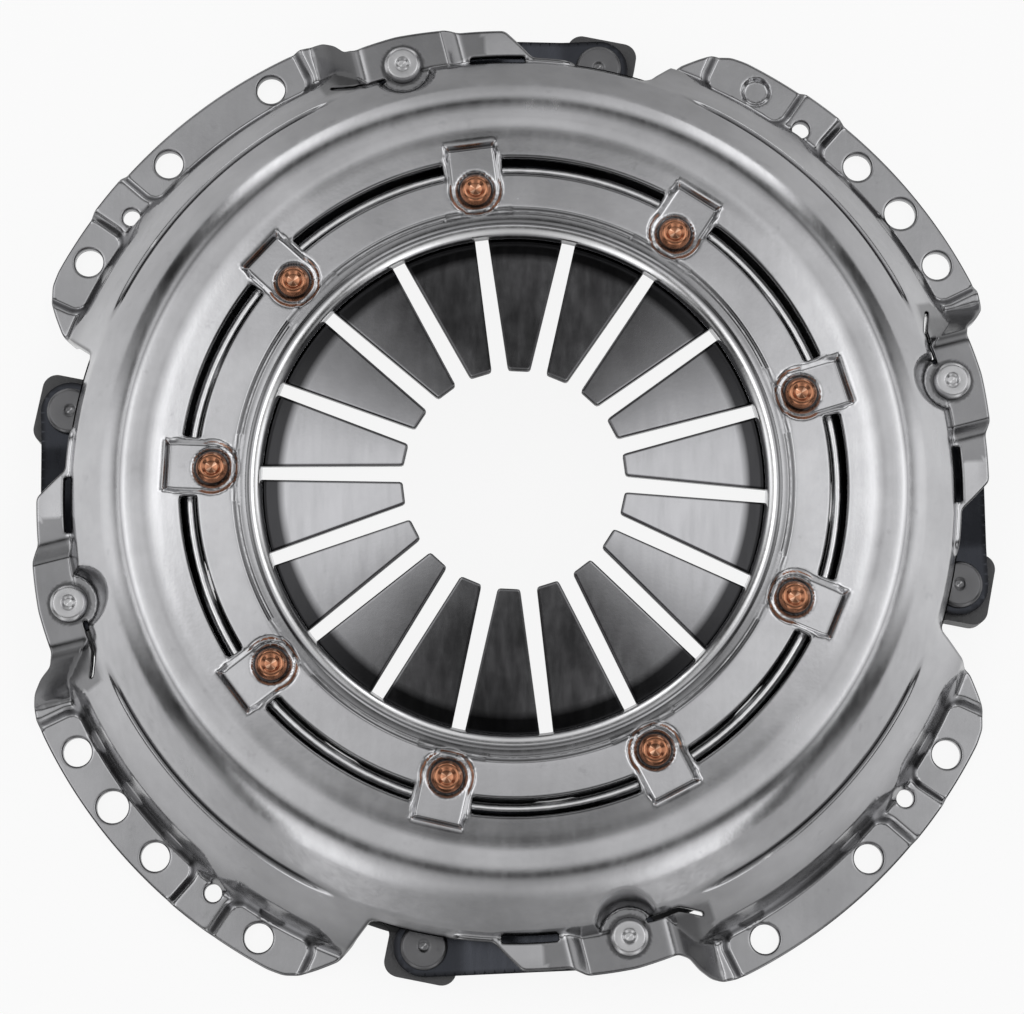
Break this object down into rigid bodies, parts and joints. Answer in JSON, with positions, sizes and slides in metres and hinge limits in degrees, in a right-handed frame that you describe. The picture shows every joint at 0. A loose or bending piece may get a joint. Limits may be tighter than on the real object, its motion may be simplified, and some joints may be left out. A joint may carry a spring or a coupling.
{
  "type": "clutch pressure plate",
  "caption": "Push-type diaphragm clutch cover assembly: a bolted steel cover that carries a finger spring, and a cast pressure plate hung on drive straps.",
  "frame": {"origin": "on the clutch axis, in the plane of the cover's bolt pads that seats on the flywheel", "axes": "+Z along the axis from the flywheel towards the release bearing; +X through the gap between two lobes, 30 degrees before the first bolt hole"},
  "size_m": [0.2972, 0.2972, 0.0534],
  "materials": {
    "cover_steel": "bright pressed sheet, satin",
    "spring_steel": "dark tempered, satin",
    "wire_steel": "drawn wire",
    "coppered_steel": "copper-plated",
    "rivet_steel": "bright",
    "dark_rivet": "phosphated",
    "strap_steel": "blued spring strip",
    "cast_iron": "cast and painted black, friction face ground"
  },
  "bodies": {
    "cover": {"cover": "cover_steel", "upper_fulcrum_ring": "wire_steel", "lower_fulcrum_ring": "wire_steel", "fulcrum_rivet_1": "coppered_steel", "fulcrum_rivet_2": "coppered_steel", "fulcrum_rivet_3": "coppered_steel", "fulcrum_rivet_4": "coppered_steel", "fulcrum_rivet_5": "coppered_steel", "fulcrum_rivet_6": "coppered_steel", "fulcrum_rivet_7": "coppered_steel", "fulcrum_rivet_8": "coppered_steel", "fulcrum_rivet_9": "coppered_steel", "strap_rivet_1": "rivet_steel", "strap_1_leaf_1": "strap_steel", "strap_1_leaf_2": "strap_steel", "strap_1_leaf_3": "strap_steel", "strap_rivet_2": "rivet_steel", "strap_2_leaf_1": "strap_steel", "strap_2_leaf_2": "strap_steel", "strap_2_leaf_3": "strap_steel", "strap_rivet_3": "rivet_steel", "strap_3_leaf_1": "strap_steel", "strap_3_leaf_2": "strap_steel", "strap_3_leaf_3": "strap_steel", "strap_rivet_4": "rivet_steel", "strap_4_leaf_1": "strap_steel", "strap_4_leaf_2": "strap_steel", "strap_4_leaf_3": "strap_steel"},
    "pressure_plate": {"pressure_plate": "cast_iron", "lug_rivet_1": "dark_rivet", "lug_rivet_2": "dark_rivet", "lug_rivet_3": "dark_rivet", "lug_rivet_4": "dark_rivet"},
    "diaphragm": {"diaphragm_spring": "spring_steel"}
  },
  "joints": [
    {"name": "plate_lift", "type": "slide", "parent": "cover", "child": "pressure_plate", "axis": [0, 0, 1], "range_m": [0, 0.0047], "deforming": ["strap_1_leaf_1", "strap_1_leaf_2", "strap_1_leaf_3", "strap_2_leaf_1", "strap_2_leaf_2", "strap_2_leaf_3", "strap_3_leaf_1", "strap_3_leaf_2", "strap_3_leaf_3", "strap_4_leaf_1", "strap_4_leaf_2", "strap_4_leaf_3"]},
    {"name": "finger_travel", "type": "slide", "parent": "cover", "child": "diaphragm", "axis": [0, 0, -1], "range_m": [0, 0.015], "deforming": ["diaphragm_spring"]}
  ],
  "couplings": [
    {"joint": "finger_travel", "follows": "plate_lift", "ratio": 3.1832}
  ]
}
